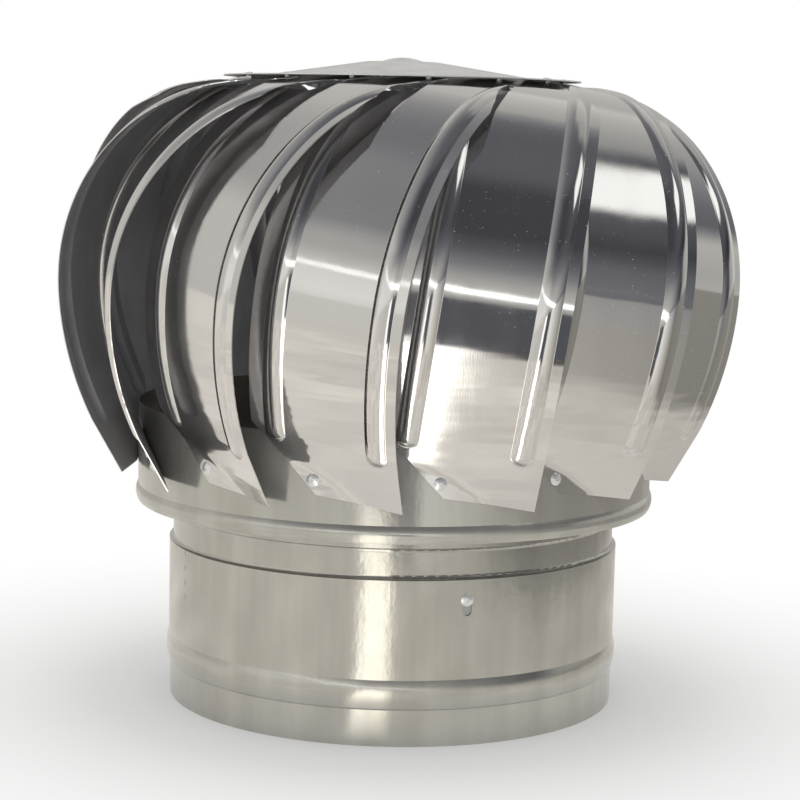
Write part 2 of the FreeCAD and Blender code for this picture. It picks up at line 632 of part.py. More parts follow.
def lower_bearing_housing():
    """A flanged cup: the bearing drops in from above on to the lip of the flange."""
    body = disc(HOUSING_FLANGE_RADIUS, BAR_Z, HOUSING_FLANGE)
    body = body.fuse(disc(BEARING_RADIUS + HOUSING_WALL, BAR_Z, HOUSING_FLANGE + BEARING_HEIGHT + HOUSING_RIM))
    body = body.cut(disc(BAR_BORE_RADIUS, BAR_Z - 1.0, EASE))
    body = body.cut(disc(BEARING_RADIUS + FIT_GAP, LOWER_BEARING_Z, EASE)).cut(screw_holes(BAR_Z))
    return place_at_azimuth(body, SKIRT_RIVET_AZIMUTH).removeSplitter()


def housing_screws():
    head_base = BAR_Z + HOUSING_FLANGE
    foot = BAR_Z - BAR_THICKNESS - SCREW_NUT_HEIGHT - SCREW_TAIL
    head = disc(SCREW_HEAD_RADIUS, head_base, SCREW_HEAD_HEIGHT)
    head = head.makeFillet(SCREW_HEAD_HEIGHT / 3.0, [head.Edges[0]])
    screw = head.fuse(disc(SCREW_RADIUS, foot, head_base - foot)).removeSplitter()
    made = []
    for place in screw_places():
        copy = screw.copy()
        copy.translate(place)
        made.append(place_at_azimuth(copy, SKIRT_RIVET_AZIMUTH))
    return Part.makeCompound(made)


def housing_nuts():
    nut = hexagon(SCREW_NUT_FLATS, SCREW_RADIUS + FIT_GAP, BAR_Z - BAR_THICKNESS - SCREW_NUT_HEIGHT,
                  SCREW_NUT_HEIGHT)
    made = []
    for place in screw_places():
        copy = nut.copy()
        copy.translate(place)
        made.append(place_at_azimuth(copy, SKIRT_RIVET_AZIMUTH))
    return Part.makeCompound(made)


def top_hub():
    """The turned hub under the cap: a pocket for the upper bearing below, the button's thread above."""
    body = disc(HUB_RADIUS, HUB_BASE, HUB_HEIGHT)
    body = body.cut(disc(BEARING_RADIUS + FIT_GAP, HUB_BASE - 1.0, BEARING_HEIGHT + 1.0))
    body = body.cut(disc(BEARING_RADIUS - RACE_WALL, HUB_BASE, BEARING_HEIGHT + HUB_RELIEF))
    return body.cut(disc(BUTTON_STEM_RADIUS + FIT_GAP, HUB_BASE, EASE))


def cap_cone():
    """The spun cap: a flat flange, a shallow cone and a flat seat at the top."""
    flange_top = CAP_Z + CAP_SHEET
    seat_top = HUB_TOP + CAP_SHEET
    line = profile((CAP_RADIUS, flange_top), [
        [(CONE_RADIUS, flange_top)],
        [(CAP_SEAT_RADIUS, seat_top)],
        [(BUTTON_STEM_RADIUS + HOLE_GAP, seat_top)],
    ])
    return spun_sheet(line, CAP_SHEET).cut([cap_rivet_hole(azimuth)
                                            for azimuth in around(CAP_RIVET_AZIMUTH, VANE_COUNT)])


def cap_rivets():
    upright = rivet(CAP_RIVET_GRIP)
    upright.rotate(ORIGIN, Y_DIR, -90.0)
    upright.translate(V(CAP_RIVET_RADIUS, 0, CAP_Z + CAP_SHEET))
    return Part.makeCompound([place_at_azimuth(upright, azimuth)
                              for azimuth in around(CAP_RIVET_AZIMUTH, VANE_COUNT)])


def cap_button():
    """The domed screw that clamps the cap on the hub."""
    seat = HUB_TOP + CAP_SHEET
    dome_radius = (BUTTON_RADIUS ** 2 + BUTTON_RISE ** 2) / (2.0 * BUTTON_RISE)
    dome = Part.makeSphere(dome_radius, V(0, 0, seat + BUTTON_RISE - dome_radius))
    dome = dome.common(disc(BUTTON_RADIUS, seat, BUTTON_RISE + 1.0))
    return dome.fuse(disc(BUTTON_STEM_RADIUS, seat - BUTTON_STEM_LENGTH, BUTTON_STEM_LENGTH)).removeSplitter()


def main():
    os.makedirs("parts", exist_ok=True)
    save(neck_collar(), "neck_collar")
    save(bearing_bracket(), "bearing_bracket")
    save(bracket_rivets(), "bracket_rivets")
    save(spindle(), "spindle")
    save(spindle_washers(), "spindle_washers")
    save(spindle_nuts(), "spindle_nuts")
    save(spindle_collar(), "spindle_collar")
    save(collar_screw(), "collar_screw")
    for name, z in (("lower", LOWER_BEARING_Z), ("upper", UPPER_BEARING_Z)):
        save(raised(inner_race(), z), name + "_bearing_inner_race")
        save(raised(outer_race(), z), name + "_bearing_outer_race")
        save(raised(balls(), z), name + "_bearing_balls")
        save(raised(ball_cage(), z), name + "_bearing_cage")
    save(skirt_ring(), "skirt_ring")
    save(skirt_rivets(), "skirt_rivets")
    save(rotor_cross_bar(), "rotor_cross_bar")
    save(lower_bearing_housing(), "lower_bearing_housing")
    save(housing_screws(), "housing_screws")
    save(housing_nuts(), "housing_nuts")
    save(top_hub(), "top_hub")
    save(cap_cone(), "cap_cone")
    save(cap_rivets(), "cap_rivets")
    save(cap_button(), "cap_button")
    vane = first_vane()
    for k in range(VANE_COUNT):
        save(turn(vane, PITCH * k), "vane_%02d" % (k + 1))


main()
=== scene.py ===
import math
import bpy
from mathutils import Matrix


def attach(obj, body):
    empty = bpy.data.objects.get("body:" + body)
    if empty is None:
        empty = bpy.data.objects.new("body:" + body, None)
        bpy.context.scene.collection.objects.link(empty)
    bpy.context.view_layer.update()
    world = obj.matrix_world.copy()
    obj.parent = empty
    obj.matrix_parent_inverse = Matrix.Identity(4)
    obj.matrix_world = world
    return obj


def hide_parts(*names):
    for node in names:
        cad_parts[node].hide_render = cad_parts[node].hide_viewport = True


bl_info = {
    "name": "Turbine Roof Vent",
    "version": (1, 0, 0),
    "blender": (4, 5, 0),
    "location": "View3D > Sidebar > Roof Vent",
    "description": "Dresses the turbine roof vent: bright vanes, satin sheet and a pale studio",
    "category": "Add Mesh",
}

import bpy
from mathutils import Matrix, Vector

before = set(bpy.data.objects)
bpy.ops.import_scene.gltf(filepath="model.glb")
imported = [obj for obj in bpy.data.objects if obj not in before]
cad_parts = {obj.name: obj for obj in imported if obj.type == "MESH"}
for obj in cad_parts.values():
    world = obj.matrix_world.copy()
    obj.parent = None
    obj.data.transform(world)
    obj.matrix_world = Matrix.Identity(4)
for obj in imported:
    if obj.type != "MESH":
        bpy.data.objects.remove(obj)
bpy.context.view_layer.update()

MM = 0.001
VANE_COUNT = 14
PITCH = 2.0 * math.pi / VANE_COUNT

# The photo's frame in pixels, and the camera's sensor in millimetres
PHOTO_SIZE = 800.0
PHOTO_CENTRE = (394.5, 452.4)
PHOTO_FOCAL = 2207.0
SENSOR = 36.0


class VentVaneSettings(bpy.types.PropertyGroup):
    reach: bpy.props.FloatProperty(
        name="Reach", description="Axis to the strip's face at the equator",
        default=197.4 * MM, unit="LENGTH", precision=5)
    equator: bpy.props.FloatProperty(
        name="Equator", description="Level of the strip's widest point",
        default=280.9 * MM, unit="LENGTH", precision=5)
    lower_arc: bpy.props.FloatProperty(
        name="Lower arc", description="Radius below the equator",
        default=203.0 * MM, unit="LENGTH", precision=5)
    upper_arc: bpy.props.FloatProperty(
        name="Upper arc", description="Radius above the equator",
        default=136.0 * MM, unit="LENGTH", precision=5)
    crown_arc: bpy.props.FloatProperty(
        name="Crown arc", description="Radius near the cap",
        default=116.0 * MM, unit="LENGTH", precision=5)
    upper_turn: bpy.props.FloatProperty(
        name="Upper turn", description="Turn of the upper arc",
        default=math.radians(55.0), subtype="ANGLE")
    crown_turn: bpy.props.FloatProperty(
        name="Crown turn", description="Turn of the crown arc",
        default=math.radians(28.0), subtype="ANGLE")
    lower_turn: bpy.props.FloatProperty(
        name="Lower turn", description="Turn of the lower arc",
        default=math.radians(24.5), subtype="ANGLE")
    foot_turn: bpy.props.FloatProperty(
        name="Foot turn", description="Slope of the flat foot",
        default=math.radians(28.7), subtype="ANGLE")
    foot: bpy.props.FloatProperty(
        name="Foot", description="Level of the strip's lower end",
        default=162.3 * MM, unit="LENGTH", precision=5)
    crown_length: bpy.props.FloatProperty(
        name="Crown length", description="Flat crown under the cap",
        default=47.0 * MM, unit="LENGTH", precision=5)
    left: bpy.props.FloatProperty(
        name="Left edge", description="Strip's left edge, across the face",
        default=-31.5 * MM, unit="LENGTH", precision=5)
    right: bpy.props.FloatProperty(
        name="Right edge", description="Strip's right edge, across the face",
        default=67.5 * MM, unit="LENGTH", precision=5)
    rib_width: bpy.props.FloatProperty(
        name="Rib width", description="Width of a pressed rib",
        default=14.0 * MM, unit="LENGTH", precision=5)
    rib_rise: bpy.props.FloatProperty(
        name="Rib rise", description="Height of a pressed rib",
        default=2.2 * MM, unit="LENGTH", precision=5)
    left_margin: bpy.props.FloatProperty(
        name="Left margin", description="Left edge to the left rib",
        default=9.5 * MM, unit="LENGTH", precision=5)
    right_margin: bpy.props.FloatProperty(
        name="Right margin", description="Right rib to the right edge",
        default=6.5 * MM, unit="LENGTH", precision=5)
    sheet: bpy.props.FloatProperty(
        name="Sheet", description="Thickness of the vane",
        default=0.6 * MM, unit="LENGTH", precision=5)
    face_turn: bpy.props.FloatProperty(
        name="Face turn", description="Turn of the face out of the round",
        default=math.radians(27.5), subtype="ANGLE")
    lean: bpy.props.FloatProperty(
        name="Lean", description="Lean of the strip to its right",
        default=math.radians(8.1), subtype="ANGLE")
    seat_radius: bpy.props.FloatProperty(
        name="Seat radius", description="Outer face of the foot on the skirt",
        default=171.75 * MM, unit="LENGTH", precision=5)
    flange_level: bpy.props.FloatProperty(
        name="Flange level", description="Top of the crown under the cap",
        default=408.25 * MM, unit="LENGTH", precision=5)
    flange_radius: bpy.props.FloatProperty(
        name="Flange radius", description="Reach of the cap's flange",
        default=118.0 * MM, unit="LENGTH", precision=5)
    press: bpy.props.FloatProperty(
        name="Press", description="Softness of the crease at the foot and under the cap",
        default=0.6 * MM, min=0.1 * MM, unit="LENGTH", precision=5)
    wide_step: bpy.props.FloatProperty(
        name="Wide step", description="Length of a face on the plain strip",
        default=3.5 * MM, min=1.0 * MM, unit="LENGTH", precision=5)
    fine_step: bpy.props.FloatProperty(
        name="Fine step", description="Length of a face at ribs, foot and crown",
        default=1.5 * MM, min=0.5 * MM, unit="LENGTH", precision=5)


class VentFinishSettings(bpy.types.PropertyGroup):
    bright_steel: bpy.props.FloatVectorProperty(
        name="Bright steel", description="Polished vanes",
        default=(0.72, 0.71, 0.69), subtype="COLOR")
    inner_steel: bpy.props.FloatVectorProperty(
        name="Inner faces", description="Dull inner faces of the vanes",
        default=(0.60, 0.595, 0.615), subtype="COLOR")
    satin_steel: bpy.props.FloatVectorProperty(
        name="Satin steel", description="Neck and skirt",
        default=(0.50, 0.492, 0.45), subtype="COLOR")
    cap_steel: bpy.props.FloatVectorProperty(
        name="Cap steel", description="Spun cap",
        default=(0.74, 0.74, 0.73), subtype="COLOR")
    rivet: bpy.props.FloatVectorProperty(
        name="Rivets", description="Blind rivets and bearings",
        default=(0.78, 0.78, 0.78), subtype="COLOR")
    zinc: bpy.props.FloatVectorProperty(
        name="Zinc", description="Bracket, bar, spindle and fasteners",
        default=(0.46, 0.47, 0.48), subtype="COLOR")
    brass: bpy.props.FloatVectorProperty(
        name="Brass", description="Bearing cages",
        default=(0.62, 0.44, 0.18), subtype="COLOR")
    blackened: bpy.props.FloatVectorProperty(
        name="Blackened steel", description="Set screw of the collar",
        default=(0.05, 0.05, 0.055), subtype="COLOR")
    dust: bpy.props.FloatVectorProperty(
        name="Dust", description="Dust that dulls the sheet",
        default=(0.42, 0.37, 0.30), subtype="COLOR")


class VentStageSettings(bpy.types.PropertyGroup):
    camera_distance: bpy.props.FloatProperty(
        name="Camera distance", description="Camera to the spindle",
        default=1.467, unit="LENGTH")
    camera_height: bpy.props.FloatProperty(
        name="Camera height", description="Camera above the floor",
        default=0.381, unit="LENGTH")
    camera_pitch: bpy.props.FloatProperty(
        name="Camera pitch", description="Camera's tilt down",
        default=0.14876, subtype="ANGLE")
    camera_roll: bpy.props.FloatProperty(
        name="Camera roll", description="Camera's roll",
        default=0.0215, subtype="ANGLE")
    floor_colour: bpy.props.FloatVectorProperty(
        name="Floor", description="Pale floor",
        default=(0.94, 0.94, 0.935), subtype="COLOR")
    floor_reach: bpy.props.FloatProperty(
        name="Floor reach", description="Radius of the bright floor seen in metal",
        default=1.05, unit="LENGTH")
    window_azimuth: bpy.props.FloatProperty(
        name="Window", description="Direction of the bright upright window",
        default=math.radians(-6.7), subtype="ANGLE")
    window_strength: bpy.props.FloatProperty(
        name="Window strength", description="Brightness of the upright window",
        default=2.7, min=0.0)


# Helpers for pieces

def deselect():
    bpy.ops.object.select_all(action="DESELECT")


def named(name):
    """The new piece, with its name on its mesh too."""
    piece = bpy.context.object
    piece.name = name
    piece.data.name = name
    return piece


def copy_of(piece, name):
    """A copy of a piece with its own mesh."""
    copy = piece.copy()
    copy.data = piece.data.copy()
    copy.name = name
    copy.data.name = name
    bpy.context.scene.collection.objects.link(copy)
    return copy


# Vanes

# Edges of the strip's crown, as (reach, across), and of its foot, as (level, across), in
# millimetres
RIGHT_CUT = ((20.0, 36.0), (46.0, 43.8), (70.8, 51.3), (93.5, 56.2), (126.0, 67.5))
LEFT_CUT = ((20.0, 25.0), (85.6, 17.0), (111.0, 12.0), (119.0, 8.5), (125.5, -31.5))
FOOT_CUT = ((162.3, 10.7), (200.0, -31.5))

# Rows and columns stand close together within a rib's edge, and at its tip
RIB_EDGE = 0.3 * MM
TIP_STEP = 1.0 * MM

# This many softnesses past its limit a soft bend has ended
BEND_END = 30.0

MERGE_DISTANCE = 0.02 * MM
SMOOTH_ANGLE = math.radians(35.0)


def between(points, x):
    """The value at x on a line of (x, value) points in rising order."""
    if x <= points[0][0]:
        return points[0][1]
    for (x0, y0), (x1, y1) in zip(points, points[1:]):
        if x <= x1:
            return y0 + (y1 - y0) * (x - x0) / (x1 - x0)
    return points[-1][1]


def strip_runs(vane):
    """Lengths of the foot, the lower arc, the upper arc, the crown arc and the flat crown."""
    foot_rise = vane.equator - vane.lower_arc * math.sin(vane.lower_turn) - vane.foot
    return (foot_rise / math.cos(vane.foot_turn), vane.lower_arc * vane.lower_turn,
            vane.upper_arc * vane.upper_turn, vane.crown_arc * vane.crown_turn, vane.crown_length)


def equator_arc(vane, radius, turn):
    """Reach and level on an arc that starts upright at the equator."""
    return vane.reach - radius * (1.0 - math.cos(turn)), vane.equator + radius * math.sin(turn)


def strip_line(vane, length):
    """Reach, level, turn and length below the kink, at a length up the strip from its foot."""
    foot_run, lower_run, upper_run, crown_run, _ = strip_runs(vane)
    if length < foot_run:
        kink_reach, _ = equator_arc(vane, vane.lower_arc, vane.lower_turn)
        back = foot_run - length
        return (kink_reach - back * math.sin(vane.foot_turn),
                vane.foot + length * math.cos(vane.foot_turn), -vane.foot_turn, back)
    length -= foot_run
    if length < lower_run:
        turn = (length - lower_run) / vane.lower_arc
        return (*equator_arc(vane, vane.lower_arc, turn), turn, 0.0)
    length -= lower_run
    if length < upper_run:
        turn = length / vane.upper_arc
        return (*equator_arc(vane, vane.upper_arc, turn), turn, 0.0)
    length -= upper_run
    closer = vane.upper_arc - vane.crown_arc
    centre_reach = vane.reach - vane.upper_arc + closer * math.cos(vane.upper_turn)
    centre_level = vane.equator + closer * math.sin(vane.upper_turn)
    turn = vane.upper_turn + min(length, crown_run) / vane.crown_arc
    flat = max(length - crown_run, 0.0)
    return (centre_reach + vane.crown_arc * math.cos(turn) - flat * math.sin(turn),
            centre_level + vane.crown_arc * math.sin(turn) + flat * math.cos(turn), turn, 0.0)


def rib_middles(vane):
    half = vane.rib_width / 2.0
    return (vane.left + vane.left_margin + half, vane.right - vane.right_margin - half)


def rib_height(vane, across, below_kink):
    """Height of the pressed ribs over the plain strip; below the kink they end in a round tip."""
    half = vane.rib_width / 2.0
    radius = (half * half + vane.rib_rise * vane.rib_rise) / (2.0 * vane.rib_rise)
    best = 0.0
    for middle in rib_middles(vane):
        off = math.hypot(across - middle, below_kink)
        if off < half:
            best = max(best, math.sqrt(radius * radius - off * off) - radius + vane.rib_rise)
    return best


def spread(start, end, step):
    """Even places from start up to, but not onto, end."""
    count = max(1, round((end - start) / step))
    return [start + (end - start) * i / count for i in range(count)]


def across_places(vane):
    """Columns of the vane, close together at the edges of the ribs."""
    half = vane.rib_width / 2.0
    places, at = [], vane.left
    for middle in rib_middles(vane):
        rib_left, rib_right = middle - half, middle + half
        places += spread(at, rib_left - RIB_EDGE, vane.wide_step)
        places += spread(rib_left - RIB_EDGE, rib_left + RIB_EDGE, RIB_EDGE)
        places += spread(rib_left + RIB_EDGE, rib_right - RIB_EDGE, vane.fine_step)
        places += spread(rib_right - RIB_EDGE, rib_right + RIB_EDGE, RIB_EDGE)
        at = rib_right + RIB_EDGE
    return places + spread(at, vane.right, vane.wide_step) + [vane.right]


def along_places(vane):
    """Rows of the vane, close together at the foot, the ribs' tips, the kink and the crown arc."""
    foot_run, lower_run, upper_run, crown_run, flat_run = strip_runs(vane)
    tips = foot_run - vane.rib_width / 2.0
    crown = foot_run + lower_run + upper_run
    flat = crown + crown_run
    end = flat + flat_run
    return (spread(0.0, tips - RIB_EDGE, vane.fine_step)
            + spread(tips - RIB_EDGE, foot_run - RIB_EDGE, TIP_STEP)
            + spread(foot_run - RIB_EDGE, foot_run + RIB_EDGE, RIB_EDGE)
            + spread(foot_run + RIB_EDGE, crown, vane.wide_step)
            + spread(crown, flat, vane.fine_step)
            + spread(flat, end, vane.wide_step) + [end])


def soft_excess(value, limit, softness):
    """The value where it is over the limit, else the limit, with a soft bend between them."""
    over = (value - limit) / softness
    return value if over > BEND_END else limit + softness * math.log1p(math.exp(over))


def vane_point(vane, across, length):
    """The point of the vane's outer face at a place across and along the strip."""
    reach, level, turn, below_kink = strip_line(vane, length)
    left, right = vane.left, vane.right
    if turn > vane.upper_turn / 2.0:
        left = max(left, between(LEFT_CUT, reach / MM) * MM)
        right = min(right, between(RIGHT_CUT, reach / MM) * MM)
    if turn < 0.0:
        left = max(left, between(FOOT_CUT, level / MM) * MM)
    across = min(max(across, left), right)
    rise = rib_height(vane, across, below_kink)
    point = Vector((reach + rise * math.cos(turn), across, level + rise * math.sin(turn)))
    point.rotate(Matrix.Rotation(-vane.lean, 3, "X"))
    point.rotate(Matrix.Rotation(-math.pi / 2.0 - vane.face_turn, 3, "Z"))

    # The foot is pressed on to the skirt, and the crown under the cap's flange
    radius = math.hypot(point.x, point.y)
    if turn < 0.0:
        pressed = soft_excess(radius, vane.seat_radius, vane.press)
        point.x *= pressed / radius
        point.y *= pressed / radius
    elif radius < vane.flange_radius:
        point.z = -soft_excess(-point.z, -vane.flange_level, vane.press)
    return point


class VENT_OT_vanes(bpy.types.Operator):
    """Shapes one vane from a grid, gives it its sheet thickness and copies it round the rotor"""
    bl_idname = "vent.vanes"
    bl_label = "Vanes"

    def execute(self, context):
        vane, finish = context.scene.vent_vanes, context.scene.vent_finish
        columns, rows = across_places(vane), along_places(vane)
        wide, long = len(columns) - 1, len(rows) - 1
        deselect()
        bpy.ops.mesh.primitive_grid_add(x_subdivisions=wide, y_subdivisions=long, size=1.0,
                                        location=(0.0, 0.0, 0.0))
        first = named("vane_sheet_01")
        for vertex in first.data.vertices:
            column, row = round((vertex.co.x + 0.5) * wide), round((vertex.co.y + 0.5) * long)
            vertex.co = vane_point(vane, columns[column], rows[row])
        first.data.materials.append(bright_vane_material(finish))
        first.data.materials.append(inner_face_material(finish))

        # The cuts lay points on each other; the bright face has to look outwards
        bpy.ops.object.mode_set(mode="EDIT")
        bpy.ops.mesh.select_all(action="SELECT")
        bpy.ops.mesh.remove_doubles(threshold=MERGE_DISTANCE)
        bpy.ops.mesh.normals_make_consistent(inside=False)
        bpy.ops.object.mode_set(mode="OBJECT")
        middle = first.data.polygons[len(first.data.polygons) // 2]
        if middle.normal.dot(Vector((middle.center.x, middle.center.y, 0.0))) < 0.0:
            bpy.ops.object.mode_set(mode="EDIT")
            bpy.ops.mesh.flip_normals()
            bpy.ops.object.mode_set(mode="OBJECT")

        solidify = first.modifiers.new("sheet", "SOLIDIFY")
        solidify.thickness = vane.sheet
        solidify.offset = -1.0
        solidify.material_offset = 1
        bpy.ops.object.modifier_apply(modifier=solidify.name)
        bpy.ops.object.shade_smooth_by_angle(angle=SMOOTH_ANGLE)

        pieces = [first]
        for k in range(1, VANE_COUNT):
            piece = copy_of(first, "vane_sheet_%02d" % (k + 1))
            piece.data.transform(Matrix.Rotation(PITCH * k, 4, "Z"))
            pieces.append(piece)
        for k, piece in enumerate(pieces):
            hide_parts("vane_%02d" % (k + 1))
            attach(piece, "rotor")
        return {"FINISHED"}


# Materials

WHITE = (1.0, 1.0, 1.0, 1.0)

# Where most of a noise's values lie
NOISE_RANGE = (0.3, 0.7)

# Where the neck's sheet is lapped and spot-welded, as x and y; the welds' pitch, width and height
WELD_SEAM = (-133.9 * MM, -68.2 * MM)
WELD_PITCH, WELD_WIDTH, WELD_HEIGHT = 9.8 * MM, 1.0 * MM, 2.0 * MM
WELD_BOTTOM, WELD_TOP, WELD_FADE = 70.0 * MM, 126.0 * MM, 12.0 * MM

# The vanes' ripples fade out between these levels, in metres
RIPPLE_LEVELS = (0.20, 0.27)


def is_socket(value):
    return isinstance(value, bpy.types.NodeSocket)


def shade(colour, factor):
    """A colour made darker or lighter."""
    return [min(c * factor, 1.0) for c in colour]


class NodeTree:
    """Short calls that add and join the shader nodes of one material or world."""

    def __init__(self, owner):
        owner.use_nodes = True
        self.nodes = owner.node_tree.nodes
        self.links = owner.node_tree.links
        self.nodes.clear()

    def join(self, value, socket):
        """Leads another node's socket into this one, or sets this one to a plain value."""
        if is_socket(value):
            self.links.new(value, socket)
        else:
            socket.default_value = value

    def finish(self, surface, kind="ShaderNodeOutputMaterial"):
        self.join(surface, self.nodes.new(kind).inputs["Surface"])

    def coordinates(self, kind="Object"):
        return self.nodes.new("ShaderNodeTexCoord").outputs[kind]

    def stretched(self, x=1.0, y=1.0, z=1.0):
        """Object coordinates, stretched by a scale on each axis."""
        mapping = self.nodes.new("ShaderNodeMapping")
        mapping.inputs["Scale"].default_value = (x, y, z)
        self.join(self.coordinates(), mapping.inputs["Vector"])
        return mapping.outputs["Vector"]

    def split(self, vector):
        """The x, y and z of a vector."""
        node = self.nodes.new("ShaderNodeSeparateXYZ")
        self.join(vector, node.inputs[0])
        return node.outputs[0], node.outputs[1], node.outputs[2]

    def distance(self, vector, place):
        node = self.nodes.new("ShaderNodeVectorMath")
        node.operation = "DISTANCE"
        node.inputs[1].default_value = place
        self.join(vector, node.inputs[0])
        return node.outputs["Value"]

    def calc(self, operation, *values):
        """A sum of one or two values, by the name of a Math node's operation."""
        node = self.nodes.new("ShaderNodeMath")
        node.operation = operation
        for socket, value in zip(node.inputs, values):
            self.join(value, socket)
        return node.outputs[0]

    def chain(self, operation, first, *others):
        for other in others:
            first = self.calc(operation, first, other)
        return first

    def plus(self, *values):
        return self.chain("ADD", *values)

    def times(self, *values):
        return self.chain("MULTIPLY", *values)

    def noise(self, vector, scale, detail=3.0, roughness=0.5):
        """Soft noise from 0 to 1."""
        texture = self.nodes.new("ShaderNodeTexNoise")
        texture.inputs["Scale"].default_value = scale
        texture.inputs["Detail"].default_value = detail
        texture.inputs["Roughness"].default_value = roughness
        self.join(vector, texture.inputs["Vector"])
        return texture.outputs["Fac"]

    def ranged(self, value, source, target=(0.0, 1.0), step="LINEAR"):
        """A value taken from the source range to the target range, and held at its ends."""
        remap = self.nodes.new("ShaderNodeMapRange")
        remap.interpolation_type = step
        for name, end in zip(("From Min", "From Max", "To Min", "To Max"), (*source, *target)):
            remap.inputs[name].default_value = end
        self.join(value, remap.inputs["Value"])
        return remap.outputs["Result"]

    def window(self, value, low, high, soft):
        """1 from low to high, with soft edges."""
        rise, fall = (self.ranged(value, (edge - soft, edge + soft), step="SMOOTHSTEP")
                      for edge in (low, high))
        return self.calc("SUBTRACT", rise, fall)

    def mixed(self, factor, first, second):
        """A mix of two colours."""
        mix = self.nodes.new("ShaderNodeMix")
        mix.data_type = "RGBA"
        self.join(factor, mix.inputs["Factor"])
        for colour, socket in ((first, mix.inputs[6]), (second, mix.inputs[7])):
            self.join(colour if is_socket(colour) else (*colour, 1.0), socket)
        return mix.outputs[2]

    def ramp(self, factor, stops):
        """A colour by (place, colour) stops in rising order."""
        node = self.nodes.new("ShaderNodeValToRGB")
        elements = node.color_ramp.elements
        elements.remove(elements[-1])
        for i, (place, colour) in enumerate(stops):
            element = elements[0] if i == 0 else elements.new(place)
            element.position = place
            element.color = (*colour, 1.0)
        self.join(factor, node.inputs["Fac"])
        return node.outputs["Color"]

    def relief(self, shader, *layers):
        """Bumps a shader's surface by (height, strength, distance) layers, undermost first."""
        normal = None
        for height, strength, distance in layers:
            bump = self.nodes.new("ShaderNodeBump")
            bump.inputs["Strength"].default_value = strength
            bump.inputs["Distance"].default_value = distance
            self.join(height, bump.inputs["Height"])
            if normal is not None:
                self.join(normal, bump.inputs["Normal"])
            normal = bump.outputs["Normal"]
        self.join(normal, shader.inputs["Normal"])

    def light(self, kind, colour, strength):
        """The light of a background or an emission."""
        node = self.nodes.new(kind)
        self.join(colour, node.inputs["Color"])
        self.join(strength, node.inputs["Strength"])
        return node.outputs[0]

    def ray(self, kind):
        return self.nodes.new("ShaderNodeLightPath").outputs[kind]

    def either(self, factor, first, second):
        """The first surface or light where the factor is 0, and the second where it is 1."""
        mix = self.nodes.new("ShaderNodeMixShader")
        for value, socket in zip((factor, first, second), mix.inputs):
            self.join(value, socket)
        return mix.outputs[0]


def new_metal(name, metallic=1.0):
    """A new material with its nodes and its metal shader."""
    material = bpy.data.materials.new(name)
    tree = NodeTree(material)
    shader = tree.nodes.new("ShaderNodeBsdfPrincipled")
    shader.inputs["Metallic"].default_value = metallic
    tree.finish(shader.outputs["BSDF"])
    return material, tree, shader


def bright_vane_material(finish):
    """Mirror-bright stainless strip: rolling streaks, waves, a film and a few specks of dust."""
    material, tree, shader = new_metal("bright_vane_steel")
    specks = tree.noise(tree.stretched(), scale=850.0, detail=0.0)
    tree.join(tree.ranged(specks, (0.79, 0.87), (1.0, 0.65)), shader.inputs["Metallic"])

    film = tree.noise(tree.stretched(z=0.35), scale=14.0, detail=5.0, roughness=0.62)
    dusty = tree.ranged(film, (0.42, 0.78), (0.0, 0.32))
    tone = tree.mixed(dusty, finish.bright_steel, shade(finish.bright_steel, 0.86))
    tree.join(tone, shader.inputs["Base Color"])
    streaks = tree.noise(tree.stretched(z=0.12), scale=120.0, detail=4.0, roughness=0.6)
    rough = tree.plus(tree.ranged(streaks, NOISE_RANGE, (0.04, 0.08)),
                      tree.ranged(film, (0.45, 0.80), (0.0, 0.12)))
    tree.join(rough, shader.inputs["Roughness"])

    waves = tree.noise(tree.stretched(z=0.5), scale=22.0, detail=1.0)
    level = tree.split(tree.coordinates())[2]
    ripples = tree.noise(tree.stretched(0.3, 0.3, 2.2), scale=26.0, detail=2.0)
    ripples = tree.times(ripples, tree.ranged(level, RIPPLE_LEVELS, (1.0, 0.06)))
    fine = tree.noise(tree.stretched(z=0.06), scale=900.0, detail=2.0)
    tree.relief(shader, (waves, 0.30, 1.2 * MM), (ripples, 0.80, 1.3 * MM), (fine, 0.05, 0.2 * MM))
    return material


def inner_face_material(finish):
    """Dull grey inner face of a vane, clouded and grainy with dust."""
    material, tree, shader = new_metal("dull_inner_steel", metallic=0.65)
    cloud = tree.noise(tree.stretched(z=0.5), scale=26.0, detail=6.0, roughness=0.65)
    grain = tree.noise(tree.stretched(), scale=900.0, detail=2.0)
    tone = tree.mixed(tree.ranged(cloud, NOISE_RANGE), shade(finish.inner_steel, 0.8),
                      shade(finish.inner_steel, 1.15))
    tree.join(tone, shader.inputs["Base Color"])
    tree.join(0.36, shader.inputs["Roughness"])
    tree.relief(shader, (grain, 0.15, 0.2 * MM))
    return material


def weld_dots(tree):
    """1 in the middle of the spot welds that stand in a line up the neck's seam."""
    x, y, z = tree.split(tree.coordinates())
    step = tree.calc("FRACT", tree.calc("DIVIDE", z, WELD_PITCH))
    up = tree.times(tree.calc("SUBTRACT", step, 0.5), WELD_PITCH / WELD_HEIGHT)
    off_x = tree.calc("DIVIDE", tree.calc("SUBTRACT", x, WELD_SEAM[0]), WELD_WIDTH)
    off_y = tree.calc("DIVIDE", tree.calc("SUBTRACT", y, WELD_SEAM[1]), WELD_WIDTH)
    away = tree.plus(tree.times(up, up), tree.times(off_x, off_x), tree.times(off_y, off_y))
    return tree.times(tree.ranged(away, (0.2, 1.6), (0.7, 0.0)),
                      tree.window(z, WELD_BOTTOM, WELD_TOP, WELD_FADE))


